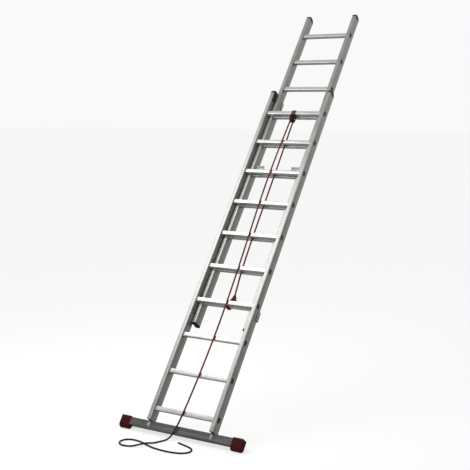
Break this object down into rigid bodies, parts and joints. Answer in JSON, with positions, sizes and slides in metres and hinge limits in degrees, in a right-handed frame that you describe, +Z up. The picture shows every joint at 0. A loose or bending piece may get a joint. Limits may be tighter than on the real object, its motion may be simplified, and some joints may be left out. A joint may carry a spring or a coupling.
{
  "type": "extension ladder",
  "caption": "Leaning two-section aluminium extension ladder with rope, pulley, rung hooks, sliding guides and a wide stabiliser bar on rubber feet.",
  "frame": {"origin": "on the floor, under the middle of the leaning ladder's box", "axes": "+Z up, -Y towards the climber, +X along the rungs to the right as the climber faces them"},
  "size_m": [0.952, 2.6773, 2.9112],
  "materials": {
    "stile_aluminium": "mill finish, weathered",
    "rung_aluminium": "bright ribbed extrusion",
    "plug_plastic": "moulded, matt",
    "maroon_cap_plastic": "moulded, satin",
    "grey_cap_plastic": "moulded, satin",
    "slide_nylon": "moulded nylon",
    "guide_aluminium": "pressed plate, satin",
    "rivet_aluminium": "domed rivets",
    "bar_aluminium": "weathered box section",
    "red_foot_rubber": "moulded rubber, dull",
    "black_foot_rubber": "moulded rubber, dull",
    "zinc_steel": "zinc plated",
    "pulley_steel": "zinc plated strap",
    "cheek_plastic": "moulded, satin",
    "sheave_nylon": "turned nylon",
    "maroon_rope": "braided polypropylene",
    "rope_end_dark": "whipped and singed rope end",
    "hook_steel": "zinc plated pressing",
    "hook_aluminium": "cast, bright"
  },
  "bodies": {
    "base": {"base_stile_left": "stile_aluminium", "base_stile_right": "stile_aluminium", "base_rung_01": "rung_aluminium", "base_rung_02": "rung_aluminium", "base_rung_03": "rung_aluminium", "base_rung_04": "rung_aluminium", "base_rung_05": "rung_aluminium", "base_rung_06": "rung_aluminium", "base_rung_07": "rung_aluminium", "base_rung_08": "rung_aluminium", "base_rung_09": "rung_aluminium", "base_rung_10": "rung_aluminium", "base_rung_plugs": "plug_plastic", "base_top_cap_left": "maroon_cap_plastic", "base_top_cap_right": "maroon_cap_plastic", "base_slide_pads": "slide_nylon", "base_guide_left": "guide_aluminium", "base_guide_right": "guide_aluminium", "base_rivets": "rivet_aluminium", "stabiliser_bar": "bar_aluminium", "stabiliser_foot_left": "red_foot_rubber", "stabiliser_foot_right": "red_foot_rubber", "bar_bracket_left": "guide_aluminium", "bar_bracket_right": "guide_aluminium", "bar_bolts": "zinc_steel", "bar_nuts": "zinc_steel", "pulley_strap": "pulley_steel", "pulley_cheek_left": "cheek_plastic", "pulley_cheek_right": "cheek_plastic", "pulley_axle": "zinc_steel", "hand_rope": "maroon_rope", "rope_end_sleeve": "rope_end_dark"},
    "fly": {"fly_stile_left": "stile_aluminium", "fly_stile_right": "stile_aluminium", "fly_rung_01": "rung_aluminium", "fly_rung_02": "rung_aluminium", "fly_rung_03": "rung_aluminium", "fly_rung_04": "rung_aluminium", "fly_rung_05": "rung_aluminium", "fly_rung_06": "rung_aluminium", "fly_rung_07": "rung_aluminium", "fly_rung_08": "rung_aluminium", "fly_rung_09": "rung_aluminium", "fly_rung_10": "rung_aluminium", "fly_rung_plugs": "plug_plastic", "fly_top_cap_left": "grey_cap_plastic", "fly_top_cap_right": "grey_cap_plastic", "fly_foot_left": "black_foot_rubber", "fly_foot_right": "black_foot_rubber", "fly_guide_left": "guide_aluminium", "fly_guide_right": "guide_aluminium", "fly_rivets": "rivet_aluminium", "hook_bracket_left": "hook_steel", "hook_bracket_right": "hook_steel", "hook_pins": "zinc_steel", "fly_rope": "maroon_rope", "rope_knot": "maroon_rope"},
    "hook_left": {"hook_tongue_left": "hook_aluminium"},
    "hook_right": {"hook_tongue_right": "hook_aluminium"},
    "sheave": {"pulley_sheave": "sheave_nylon"}
  },
  "joints": [
    {"name": "fly_slide", "type": "slide", "parent": "base", "child": "fly", "axis": [0, 0.6293, 0.7771], "range_m": [-0.745, 0.56], "deforming": ["fly_rope"]},
    {"name": "hook_left_swing", "type": "hinge", "parent": "fly", "child": "hook_left", "pos_m": [-0.15, 0.16197, 1.68049], "axis": [1, 0, 0], "range_deg": [0, 125]},
    {"name": "hook_right_swing", "type": "hinge", "parent": "fly", "child": "hook_right", "pos_m": [0.15, 0.16197, 1.68049], "axis": [1, 0, 0], "range_deg": [0, 125]},
    {"name": "sheave_spin", "type": "hinge", "parent": "base", "child": "sheave", "pos_m": [0, 0.44316, 2.06786], "axis": [1, 0, 0], "range_deg": [-2000, 1500]}
  ],
  "couplings": [
    {"joint": "sheave_spin", "follows": "fly_slide", "rad_per_m": 45.977}
  ]
}
